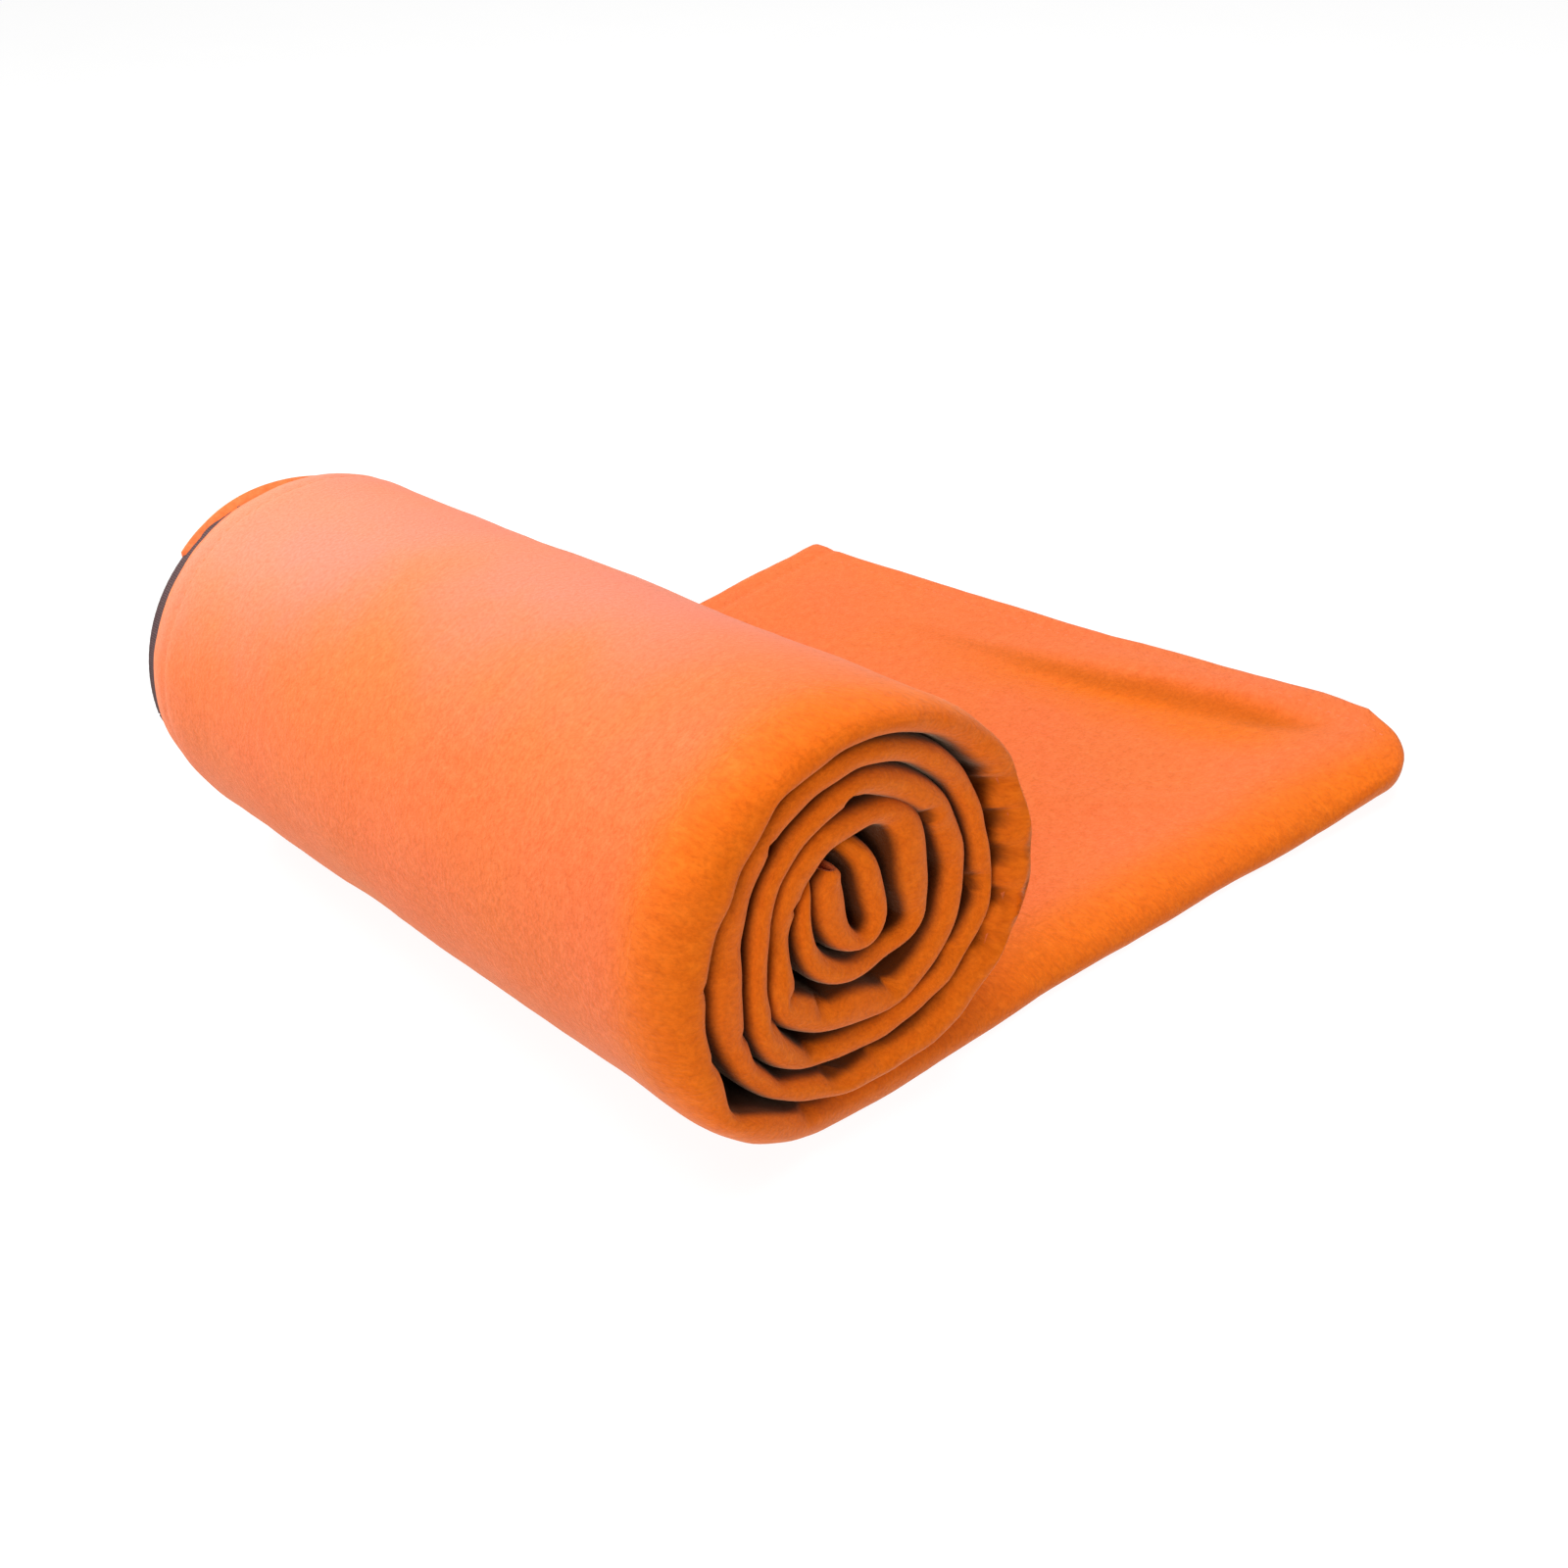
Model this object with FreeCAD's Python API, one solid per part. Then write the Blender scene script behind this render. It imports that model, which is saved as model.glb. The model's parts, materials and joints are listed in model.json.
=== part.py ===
"""Quick dry towel: brushed fleece, folded once lengthwise, rolled up from one end, its last stretch lying flat.

The roll's axis runs along Y. The lengthwise fold faces -Y, so every wrap ends there in one rounded fold, and
the two hemmed edges of the cloth lie open at +Y. The flat stretch, the flap, leaves the roll towards +X. The
origin is on the resting surface, under the roll's axis. The cloth is one piece from end to end: the flap is
parted into four panels only where it bends, so that each bend can be a hinge.
"""
import FreeCAD, Part
import math
import os

V = FreeCAD.Vector
X, Y, Z = V(1, 0, 0), V(0, 1, 0), V(0, 0, 1)

# Driving dimensions, in millimetres and degrees.
ROLL_RADIUS = 47.0        # at the folded end
HEM_END_SCALE = 0.9       # the hemmed end is slimmer, because it has no folds to puff it up
WRAP_PITCH = 7.8          # from one wrap to the next
WRAP_THICKNESS = 7.4      # two plies of fleece
PLY_GAP = 0.4             # between the two plies of a wrap
HALF_TURNS = 11
SAG = 1.0                 # how far the roll's weight flattens its underside

FOLD_Y = -100.0           # the rounded lengthwise fold
HEM_Y = 89.0              # the open, hemmed edges of the rolled part
FOLD_DEPTH = 6.0          # at the fold, where the plies join
HEM_WIDTH = 8.0           # from an edge to its line of stitches
SLACK = 20.0              # how far a cutting shape runs past what it cuts

BENDS = (24.0, 56.0, 92.0, 134.0)   # where the flap bends as it is rolled up
BEND_GAP = 0.4
FLAP_THICKNESS = WRAP_THICKNESS - SAG
FLAP_END_HEM = 189.0      # the flap's end, at the hemmed edge
FLAP_END_FOLD = 203.0     # and at the fold, where the corner is pushed out
FLAP_HEM_Y = 101.0        # the flap fans out a little towards its end
CORNER_RADIUS = 28.0      # the folded corner
HEM_CORNER_RADIUS = 3.0

THREAD_RADIUS = 0.35
THREAD_GAP = 1.2          # the thread stops short of each bend by this much
THREAD_FROM, THREAD_TO = -70.0, 250.0    # how far round the roll its side hem shows

LOOP_WIDTH = 4.0
LOOP_THICKNESS = 1.2
LOOP_FROM, LOOP_TO = 108.0, 190.0    # how far round the hemmed end the loop's two ends are sewn
LOOP_SEWN_Y = 91.3        # of the tape's middle line, where it just clears the hem
LOOP_MIDDLE_Y = 91.6      # the loop lies flat along the hem
LOOP_SEWN_RADIUS = 39.0
LOOP_MIDDLE_RADIUS = 39.5
LOOP_STEPS = 12
LOOP_CLEARANCE = 0.06     # share of the loop left free at each end, so that it can swing
TAIL_ANGLE = 14.0         # how far round the hem each sewn end runs on, between the plies
TAIL_Y = 85.0             # how deep in the hem its middle line ends
LOOP_TACK_Y = 86.5
TACK_SIZE = (3.0, 4.0, 1.5)          # away from the axis, along Y, round the hem

LABEL_X = 100.0
LABEL_WIDTH, LABEL_LENGTH, LABEL_THICKNESS = 26.0, 24.0, 0.3
LABEL_SEWN = 10.0         # the part of the label that is held in the hem


def size_at(y):
    """The roll's size at y, as a share of its size at the folded end."""
    return 1 + (HEM_END_SCALE - 1) * (y - FOLD_Y) / (HEM_Y - FOLD_Y)


def arc_between(first, last, centre, radius):
    """An arc round the Y axis, between two angles in degrees, from +X towards +Z."""
    points = []
    for degrees in (first, (first + last) / 2, last):
        angle = math.radians(degrees)
        points.append(centre + (X * math.cos(angle) + Z * math.sin(angle)) * radius)
    return Part.Arc(*points).toShape()


def spiral_edges(depth, y):
    """The spiral's line, depth inside its outer face: half turns whose centres take turns at two heights."""
    size = size_at(y)
    edges = []
    for turn in range(HALF_TURNS):
        goes_up = turn % 2 == 0
        centre = ROLL_RADIUS if goes_up else ROLL_RADIUS + WRAP_PITCH / 2
        radius = ROLL_RADIUS - turn * WRAP_PITCH / 2 - depth
        first, last = (-90, -270) if goes_up else (90, -90)
        edges.append(arc_between(first, last, V(0, y, centre * size - SAG), radius * size))
    return edges


def spiral_outline(outer, inner, y):
    """The closed outline of a ribbon of cloth between two depths of the spiral."""
    outside = spiral_edges(outer, y)
    inside = spiral_edges(inner, y)
    start = Part.makeLine(inside[0].Vertexes[0].Point, outside[0].Vertexes[0].Point)
    end = Part.makeLine(outside[-1].Vertexes[-1].Point, inside[-1].Vertexes[-1].Point)
    return Part.Wire(Part.__sortEdges__([start] + outside + [end] + inside))


def spiral_ribbon(outer, inner, low_y, high_y):
    """A solid ribbon that follows the spiral from low_y to high_y, slimmer towards the hemmed end."""
    return Part.makeLoft([spiral_outline(outer, inner, y) for y in (low_y, high_y)], True, True)


def flat_prism(points, low, high):
    """A prism between two heights, whose outline is a list of (x, y) points."""
    corners = [V(x, y, low) for x, y in points]
    return Part.Face(Part.makePolygon(corners + corners[:1])).extrude(Z * (high - low))


def bar(start, end, radius):
    """A straight round bar."""
    return Part.makeCylinder(radius, (end - start).Length, start, end - start)


def rolled_cloth():
    """The rolled part, with the flat stretch under it that ends at the flap's first bend."""
    ply = (WRAP_THICKNESS - PLY_GAP) / 2
    wraps = spiral_ribbon(0, WRAP_THICKNESS, FOLD_Y, HEM_Y)
    between_plies = spiral_ribbon(ply, ply + PLY_GAP, FOLD_Y + FOLD_DEPTH, HEM_Y + 1)
    foot = Part.makeBox(BENDS[0] - BEND_GAP / 2, HEM_Y - FOLD_Y, FLAP_THICKNESS, V(0, FOLD_Y, 0))
    ground = Part.makeBox(8 * SLACK, HEM_Y - FOLD_Y + SLACK, SLACK, V(-4 * SLACK, FOLD_Y - SLACK / 2, -SLACK))
    return wraps.cut(between_plies).fuse(foot).cut(ground)


def flap_outline():
    """The flap seen from above: it fans out, and its end slants towards the folded corner."""
    outline = flat_prism([(0, FOLD_Y), (FLAP_END_FOLD, FOLD_Y), (FLAP_END_HEM, FLAP_HEM_Y), (BENDS[2], HEM_Y),
                          (0, HEM_Y)], 0, FLAP_THICKNESS)
    for corner, radius in ((FLAP_END_FOLD, CORNER_RADIUS), (FLAP_END_HEM, HEM_CORNER_RADIUS)):
        upright = [edge for edge in outline.Edges
                   if all(abs(vertex.X - corner) < 1e-6 for vertex in edge.Vertexes)]
        outline = outline.makeFillet(radius, upright)
    return outline


def flap():
    """The whole flap, two plies joined along a rounded fold."""
    radius = FLAP_THICKNESS / 2
    body = Part.makeBox(FLAP_END_FOLD, FLAP_HEM_Y - FOLD_Y - radius, FLAP_THICKNESS, V(0, FOLD_Y + radius, 0))
    fold = bar(V(0, FOLD_Y + radius, radius), V(FLAP_END_FOLD, FOLD_Y + radius, radius), radius)
    between_plies = Part.makeBox(2 * FLAP_END_FOLD, FLAP_HEM_Y - FOLD_Y, PLY_GAP,
                                 V(0, FOLD_Y + FOLD_DEPTH, radius - PLY_GAP / 2))
    return body.fuse(fold).common(flap_outline()).cut(between_plies)


def panel_slab(number, gap):
    """The slab of space that flap panel number takes, counted from 1 at the roll, gap apart from its neighbours."""
    ends = BENDS + (FLAP_END_FOLD + SLACK,)
    start, end = ends[number - 1] + gap / 2, ends[number] - gap / 2
    return Part.makeBox(end - start, 3 * FLAP_END_FOLD, 3 * SLACK, V(start, -1.5 * FLAP_END_FOLD, -SLACK))


def hem_y(x):
    """Where the flap's hemmed edge is at x."""
    share = max(0.0, (x - BENDS[2]) / (FLAP_END_HEM - BENDS[2]))
    return HEM_Y + (FLAP_HEM_Y - HEM_Y) * share


def flap_side_thread():
    """The side hem's line of stitches along the flap, half sunk in the fleece."""
    places = [V(x, hem_y(x) - HEM_WIDTH, FLAP_THICKNESS) for x in (0, BENDS[2], FLAP_END_HEM - HEM_WIDTH)]
    return bar(places[0], places[1], THREAD_RADIUS).fuse(bar(places[1], places[2], THREAD_RADIUS))


def flap_end_thread():
    """The end hem's line of stitches, along the slanted end of the flap."""
    start = V(FLAP_END_HEM - HEM_WIDTH, FLAP_HEM_Y - HEM_WIDTH, FLAP_THICKNESS)
    end = V(FLAP_END_FOLD - HEM_WIDTH, FOLD_Y + HEM_WIDTH, FLAP_THICKNESS)
    return bar(start, end, THREAD_RADIUS)


def roll_thread():
    """The side hem's line of stitches round the roll's outermost wrap, half sunk in the fleece."""
    y = HEM_Y - HEM_WIDTH
    size = size_at(y)
    left = arc_between(THREAD_TO, 90, V(0, y, ROLL_RADIUS * size - SAG), ROLL_RADIUS * size)
    right = arc_between(90, THREAD_FROM, V(0, y, (ROLL_RADIUS + WRAP_PITCH / 2) * size - SAG),
                        (ROLL_RADIUS - WRAP_PITCH / 2) * size)
    pieces = []
    for arc in (left, right):
        start = arc.valueAt(arc.FirstParameter)
        profile = Part.makeCircle(THREAD_RADIUS, start, arc.tangentAt(arc.FirstParameter))
        pieces.append(Part.Wire(arc).makePipeShell([Part.Wire(profile)], True, True))
    return pieces[0].fuse(pieces[1])


def at_hem_end(angle, radius, y):
    """A point round the roll's hemmed end, at an angle in degrees from +X towards +Z."""
    turn = math.radians(angle)
    return V(radius * math.cos(turn), y, ROLL_RADIUS * HEM_END_SCALE - SAG + radius * math.sin(turn))


def loop_point(share):
    """A point on the loop's middle line, from its upper sewn end (0) to its lower one (1)."""
    arch = math.sin(math.pi * share)
    return at_hem_end(LOOP_FROM + (LOOP_TO - LOOP_FROM) * share,
                      LOOP_SEWN_RADIUS + (LOOP_MIDDLE_RADIUS - LOOP_SEWN_RADIUS) * arch,
                      LOOP_SEWN_Y + (LOOP_MIDDLE_Y - LOOP_SEWN_Y) * arch)


def tape_section(point):
    """The tape's oblong section: its width along Y, its thickness away from the roll's axis."""
    centre = at_hem_end(0, 0, point.y)
    half_width = Y * (LOOP_WIDTH / 2)
    half_thickness = (point - centre).normalize() * (LOOP_THICKNESS / 2)
    corners = [point + half_width + half_thickness, point - half_width + half_thickness,
               point - half_width - half_thickness, point + half_width - half_thickness]
    return Part.makePolygon(corners + corners[:1])


def hanging_loop():
    """The free part of the tape, which swings about the line between its two ends."""
    free = 1 - 2 * LOOP_CLEARANCE
    shares = [LOOP_CLEARANCE + free * step / LOOP_STEPS for step in range(LOOP_STEPS + 1)]
    return Part.makeLoft([tape_section(loop_point(share)) for share in shares], True, True)


def sewn_end(angle, direction):
    """One end of the tape, slanting down from the loop into the gap between the two plies."""
    places = [at_hem_end(angle + direction * TAIL_ANGLE * share, LOOP_SEWN_RADIUS,
                         LOOP_SEWN_Y + (TAIL_Y - LOOP_SEWN_Y) * share)
              for share in (0, 0.25, 0.5, 0.75, 1)]
    return Part.makeLoft([tape_section(place) for place in places], True, True)


def loop_sewn_ends():
    """Both sewn ends of the tape."""
    return Part.makeCompound([sewn_end(LOOP_FROM, -1), sewn_end(LOOP_TO, 1)])


def loop_bar_tacks():
    """The dense bar of stitches through each sewn end of the tape."""
    tacks = []
    for angle in (LOOP_FROM - 0.8 * TAIL_ANGLE, LOOP_TO + 0.8 * TAIL_ANGLE):
        tack = Part.makeBox(*TACK_SIZE, V(*TACK_SIZE) * -0.5)
        tack.rotate(V(), Y, -angle)
        tack.translate(at_hem_end(angle, LOOP_SEWN_RADIUS, LOOP_TACK_Y))
        tacks.append(tack)
    return Part.makeCompound(tacks)


def care_label():
    """A blank label of thin satin, held between the plies of the flap's hem."""
    low_y = hem_y(LABEL_X) - LABEL_SEWN
    return Part.makeBox(LABEL_WIDTH, LABEL_LENGTH, LABEL_THICKNESS,
                        V(LABEL_X, low_y, (FLAP_THICKNESS - LABEL_THICKNESS) / 2))


def sub_parts():
    """Every node's name and shape."""
    sewn_ends = loop_sewn_ends()
    yield "rolled_cloth", rolled_cloth().cut(sewn_ends)
    yield "roll_hem_thread", roll_thread()
    yield "loop_sewn_ends", sewn_ends
    yield "loop_bar_tacks", loop_bar_tacks()
    yield "hanging_loop", hanging_loop()
    yield "care_label", care_label()
    whole_flap = flap()
    side_thread = flap_side_thread()
    for number in range(1, len(BENDS) + 1):
        yield f"flap_panel_{number}", whole_flap.common(panel_slab(number, BEND_GAP))
        yield f"flap_hem_thread_{number}", side_thread.common(panel_slab(number, 2 * THREAD_GAP))
    yield "end_hem_thread", flap_end_thread().cut(side_thread)


os.makedirs("parts", exist_ok=True)
for node, shape in sub_parts():
    shape.exportStep(f"parts/{node}.step")
    box = shape.optimalBoundingBox(False)
    print(f"{node}: valid {shape.isValid()}, solids {len(shape.Solids)}, volume {shape.Volume:.0f} mm3, "
          f"x {box.XMin:.1f} {box.XMax:.1f}, y {box.YMin:.1f} {box.YMax:.1f}, z {box.ZMin:.2f} {box.ZMax:.2f}")

turns = [ROLL_RADIUS - turn * WRAP_PITCH / 2 - WRAP_THICKNESS / 2 for turn in range(HALF_TURNS)]
print(f"the cloth is {math.pi * sum(turns) + FLAP_END_FOLD:.0f} mm long, measured along its middle")
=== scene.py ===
"""Looks of the quick dry towel: brushed orange fleece, folded once lengthwise, rolled up, with a flat flap.

The cloth is one long ribbon of two plies. Its middle line is drawn in the XZ plane, from the flap's end,
flat along the table, under the roll and round it to the core. Every station of that line has a ring of
points, across the line, for the two plies, joined by the rounded fold at -Y and open at the hems at +Y. The
ribbon is parted across the flap, halfway between the hinges. Sizes are in millimetres until a mesh is made.
"""
import json
import math

import bpy
import numpy as np
from mathutils import Matrix, Vector, noise


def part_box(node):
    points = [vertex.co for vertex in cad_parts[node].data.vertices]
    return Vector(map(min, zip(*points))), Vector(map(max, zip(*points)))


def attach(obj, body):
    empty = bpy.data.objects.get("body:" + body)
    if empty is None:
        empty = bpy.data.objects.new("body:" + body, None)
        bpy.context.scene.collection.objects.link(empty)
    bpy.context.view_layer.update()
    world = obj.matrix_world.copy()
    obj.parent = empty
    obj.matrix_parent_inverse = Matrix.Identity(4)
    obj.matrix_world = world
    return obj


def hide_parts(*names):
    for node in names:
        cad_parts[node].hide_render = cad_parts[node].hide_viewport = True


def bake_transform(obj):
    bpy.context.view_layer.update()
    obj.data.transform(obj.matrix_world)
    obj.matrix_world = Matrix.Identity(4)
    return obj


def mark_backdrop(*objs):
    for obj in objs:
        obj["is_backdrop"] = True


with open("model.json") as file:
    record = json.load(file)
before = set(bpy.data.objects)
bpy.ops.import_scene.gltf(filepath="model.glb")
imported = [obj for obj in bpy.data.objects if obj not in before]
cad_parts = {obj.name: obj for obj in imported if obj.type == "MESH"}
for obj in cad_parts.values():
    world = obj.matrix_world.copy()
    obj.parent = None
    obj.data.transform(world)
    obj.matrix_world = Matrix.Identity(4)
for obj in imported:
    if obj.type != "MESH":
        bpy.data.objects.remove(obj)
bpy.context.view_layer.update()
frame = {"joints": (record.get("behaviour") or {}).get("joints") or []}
MM = 0.001

# What the frame gives.
roll_low, roll_high = (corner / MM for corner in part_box("rolled_cloth"))
FOLD_Y, HEM_Y = roll_low.y, roll_high.y
hinges = {joint["child"]: Vector(joint["pos_m"]) / MM for joint in frame["joints"]}
HINGE_X = [hinges[f"flap_{number}"].x for number in (1, 2, 3, 4)]
BLEND_REACH = 12.0        # how far on the roll's side of the first hinge its piece ends
SEAMS = [HINGE_X[0] - BLEND_REACH] + [(first + second) / 2 for first, second in zip(HINGE_X, HINGE_X[1:])]

# The ribbon of cloth.
FLEECE = 3.4              # thickness of one ply
PLY_GAP = 0.4             # between the two plies
HEM_END_SCALE = 0.9       # the roll is slimmer at the hemmed end
HEM_WIDTH = 8.0           # from an edge to its line of stitches
STEP, CORE_STEP = 1.8, 1.3               # from one station to the next, in the wraps and in the core
LIP_REACH, LIP_FLARE = 6.4, 2.4          # how far the bared inner ply stands out past its hem, and spreads
CURL_IN = 1.8             # how far the outer ply's hem curls in
ROLL_CENTRE = np.array((0.0, 48.0))      # x and z of the roll's axis at the folded end

# Each wrap at its folded end: compass angle from below, by the left, top and right; radius of its outer
# face; width of its rounded fold; and where in that width the fold's crest is, from 0, outside, to 1, inside.
WRAPS = (
    ((0, 48.0, 10.0, 0.60), (30, 47.7, 9.3, 0.70), (60, 47.3, 9.0, 0.75), (90, 47.0, 9.9, 0.75),
     (120, 47.0, 10.0, 0.75), (150, 46.5, 8.2, 0.70), (180, 45.5, 6.8, 0.60), (205, 45.0, 7.0, 0.50),
     (228, 44.5, 7.6, 0.35), (250, 44.0, 8.6, 0.20), (270, 43.5, 9.0, 0.15), (295, 42.5, 8.0, 0.20),
     (325, 40.5, 7.4, 0.35)),
    ((0, 37.7, 6.8, 0.50), (45, 37.2, 6.0, 0.55), (70, 36.8, 8.4, 0.60), (90, 36.5, 9.5, 0.62),
     (135, 37.7, 8.2, 0.55), (180, 38.5, 6.1, 0.50), (225, 36.2, 5.8, 0.45), (262, 34.3, 4.9, 0.40),
     (281, 36.5, 6.4, 0.40), (302, 34.3, 6.0, 0.45), (330, 32.3, 6.6, 0.50)),
    ((0, 30.5, 6.6, 0.50), (48, 31.0, 6.8, 0.50), (70, 28.5, 6.5, 0.50), (90, 26.8, 6.1, 0.50),
     (135, 29.3, 5.5, 0.50), (180, 32.2, 7.0, 0.50), (225, 30.2, 7.2, 0.45), (262, 29.4, 7.6, 0.40),
     (290, 28.6, 7.2, 0.40), (322, 27.4, 7.2, 0.45)),
    ((0, 23.8, 9.1, 0.50), (30, 23.6, 8.6, 0.50), (62, 24.2, 9.4, 0.50), (90, 20.5, 6.7, 0.50),
     (135, 23.7, 8.2, 0.50), (165, 25.2, 7.2, 0.50)),
)
# The core, where the end of the cloth is tucked in: x, z, width of the fold, its crest.
CORE = (
    (0.0, 69.4, 6.6, 0.50), (5.5, 69.3, 6.6, 0.50), (10.4, 67.6, 7.4, 0.45), (13.3, 63.2, 8.6, 0.40),
    (14.2, 57.5, 9.0, 0.40), (14.8, 52.0, 8.6, 0.40), (16.0, 46.5, 6.8, 0.45), (16.6, 41.6, 5.4, 0.45),
    (12.8, 38.2, 6.0, 0.50), (7.0, 36.9, 6.0, 0.50), (0.8, 36.7, 5.8, 0.50), (-4.8, 38.4, 6.0, 0.50),
    (-9.0, 42.4, 5.6, 0.50), (-11.1, 48.2, 4.6, 0.50), (-11.2, 54.2, 4.0, 0.50), (-9.4, 59.8, 3.8, 0.50),
    (-5.4, 64.0, 3.8, 0.50), (-0.6, 64.6, 4.4, 0.50), (2.6, 61.4, 5.6, 0.45), (4.6, 56.2, 6.4, 0.45),
    (5.9, 50.8, 6.4, 0.45), (6.4, 46.0, 5.2, 0.45), (4.0, 42.6, 4.4, 0.50), (0.2, 42.8, 4.8, 0.50),
    (-2.6, 46.0, 6.6, 0.50), (-4.2, 51.0, 8.6, 0.50), (-4.9, 56.6, 8.2, 0.50), (-4.6, 61.2, 5.6, 0.50),
)
# Where the inner side of a fold is pulled away from the wrap inside it: wrap, compass angle, depth, spread.
NOTCHES = (
    (0, 51, 3.4, 8), (0, 149, 2.6, 5), (0, 238, 2.0, 5), (0, 262, 1.6, 4), (0, 284, 2.2, 5),
    (1, 5, 1.6, 6), (1, 36, 1.4, 5), (1, 52, 1.2, 5), (1, 283, 1.8, 5),
    (2, 26, 1.6, 8), (2, 182, 1.2, 7), (2, 340, 1.8, 8), (2, 266, 1.4, 8),
    (3, 22, 1.0, 8), (3, 55, 1.6, 8),
)

# Short creases across the slope inside a fold's crest: wrap, compass angle, depth, spread in degrees.
CREASES = (
    (0, 246, 6.5, 3.2), (0, 257, 5.5, 2.8), (0, 270, 4.5, 2.8), (0, 284, 4.5, 3.0), (0, 298, 6.0, 3.2),
    (0, 70, 1.6, 2.0), (0, 95, 1.2, 1.6), (0, 20, 2.0, 2.2), (0, 352, 2.0, 2.4),
    (1, 12, 3.4, 3.0), (1, 66, 1.6, 2.5), (1, 276, 4.0, 2.6), (1, 305, 1.8, 2.4), (1, 140, 1.2, 2.0),
    (2, 24, 2.2, 3.0), (2, 176, 2.4, 3.0), (2, 228, 3.0, 3.0), (2, 335, 2.2, 3.0), (2, 60, 1.8, 3.0),
    (3, 30, 2.0, 4.0), (3, 60, 1.8, 3.5), (3, 120, 1.4, 3.0),
)
# Where a whole fold runs deeper inside the roll: place along the line as its rising angle, depth, spread.
DIPS = ((1456, 9.0, 15), (1361, 1.5, 14), (1180, 1.2, 14))

# The flap, seen from above.
FLAP_END = 196.0          # its mean length
SLANT_FROM = 150.0        # from here on the stations turn towards the slanting end
END_AT_FOLD, END_AT_HEM = 209.5, 189.0
CORNER_X, CORNER_Y = 26.0, 40.0          # how far the folded corner's rounding reaches
HEM_CORNER_Y = 101.0      # where the slant of its end stops, at the hems
VALLEY_DEPTH, VALLEY_PUFF = 2.2, 1.4     # of the soft dent, and of the cloth beside it
CORNER_LIFT = 3.5         # how far the folded corner stands off the table
FLAP_FOLD_LINE = ((0, -97.0), (60, -95.8), (130, -98.0), (196, -104.5))
FLAP_HEM_LINE = ((0, 89.0), (90, 90.0), (150, 98.0), (189, 103.0))
# The lines of a soft dent that runs towards the corner, and of a faint crease.
VALLEY = ((201, -93), (195, -80), (185, -60), (175, -30), (167, 0), (163, 20))
RIDGE = ((60, -20), (113, -42), (130, -65), (150, -80), (190, -82))

# The ring of points round the two plies.
FOLD_STEPS = 8
MIDDLE_STEPS = 34
HEM_STATIONS = (0.0, 1.2, 2.4, 3.8, 5.2, 6.3, 7.2, 8.2, 9.4, 11.0, 13.0, 16.0)   # from the hem's rounding
STITCH_COLUMN = 5         # the hem station where the stitches run
HEM_TURNS = (math.pi / 4, 0.0, -math.pi / 4)


def smoothstep(value):
    """0 below 0, 1 above 1, and an even S between."""
    value = np.clip(value, 0, 1)
    return value * value * (3 - 2 * value)


def bell(distance, spread):
    """1 at no distance, falling off over the spread."""
    return np.exp(-(distance / spread) ** 2)


def curve_through(places, values, at):
    """A smooth curve through rows of values at rising places, read at other places."""
    slopes = np.gradient(values, places, axis=0)
    index = np.clip(np.searchsorted(places, at, side="right") - 1, 0, len(places) - 2)
    span = (places[index + 1] - places[index])[:, None]
    t = (at - places[index])[:, None] / span
    start = values[index] * (2 * t**3 - 3 * t**2 + 1) + slopes[index] * span * (t**3 - 2 * t**2 + t)
    return start + values[index + 1] * (3 * t**2 - 2 * t**3) + slopes[index + 1] * span * (t**3 - t**2)


def wavy(places, wavelength, seed):
    """Smooth seeded noise along a line, from about -1 to 1."""
    return np.array([1.6 * noise.noise(Vector((place / wavelength, 7.3 * seed, 1.7))) for place in places])


def wavy_grid(across, along, wavelength, seed):
    """Smooth seeded noise over a grid of points, from about -1 to 1."""
    flat = [1.6 * noise.noise(Vector((u / wavelength, v / wavelength, 5.1 * seed)))
            for u, v in zip(along.ravel(), across.ravel())]
    return np.array(flat).reshape(across.shape)


# --- The cloth's middle line: rows of angle, x, z, width of the fold, crest -------------------------------

def wrap_line():
    """The wraps, every degree and a half."""
    controls = np.array([(360 * number + row[0],) + row[1:]
                         for number, wrap in enumerate(WRAPS) for row in wrap])
    angles = np.arange(0, controls[-1, 0], 1.5)
    radius, width, crest = curve_through(controls[:, 0], controls[:, 1:], angles).T
    for wrap, angle, depth, spread in NOTCHES:
        width = width - depth * bell(angles - 360 * wrap - angle, spread)
    middle = radius - width / 2
    turn = np.radians(angles)
    x = ROLL_CENTRE[0] - middle * np.sin(turn)
    z = ROLL_CENTRE[1] - middle * np.cos(turn)
    return np.stack([angles, x, z, width, crest], axis=1)


def core_line():
    """The tucked-in end; its angle goes on rising, so that it can be told from the wraps."""
    points = np.array(CORE)
    places = np.arange(len(points), dtype=float)
    at = np.linspace(0, places[-1], 6 * len(points))
    rising = 360 * (len(WRAPS) - 0.5) + 12 * at[:, None]
    return np.concatenate([rising, curve_through(places, points, at)], axis=1)


def flap_line():
    """The flat part, from its end towards the roll; its angle is below 0."""
    gaps = (0, 0.25, 0.8, 1.7, 3, 4.5, 6, 7.5, 9, 10.2, 11.2, 12, 12.8, 13.8, 15.2, 17, 19)
    x = [FLAP_END - gap for gap in gaps]
    stops = [x[-1], SLANT_FROM] + SEAMS[::-1] + [0.0]
    for start, end in zip(stops, stops[1:]):
        steps = round((start - end) / 3.6)
        x += [start + (end - start) * step / steps for step in range(1, steps + 1)]
    x = np.array(x[:-1])
    width = np.interp(x, (0, 12, 30, 60), (WRAPS[0][0][2], 9.4, 8.6, 8.2))
    crest = np.interp(x, (0, 12, 40, 160, 196), (WRAPS[0][0][3], 0.55, 0.4, 0.4, 0.78))
    return np.stack([-x, x, width / 2, width, crest], axis=1)


def along_line(x, z):
    """How far each point is along the line, from its first point."""
    return np.concatenate([[0], np.cumsum(np.hypot(np.diff(x), np.diff(z)))])


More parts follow.
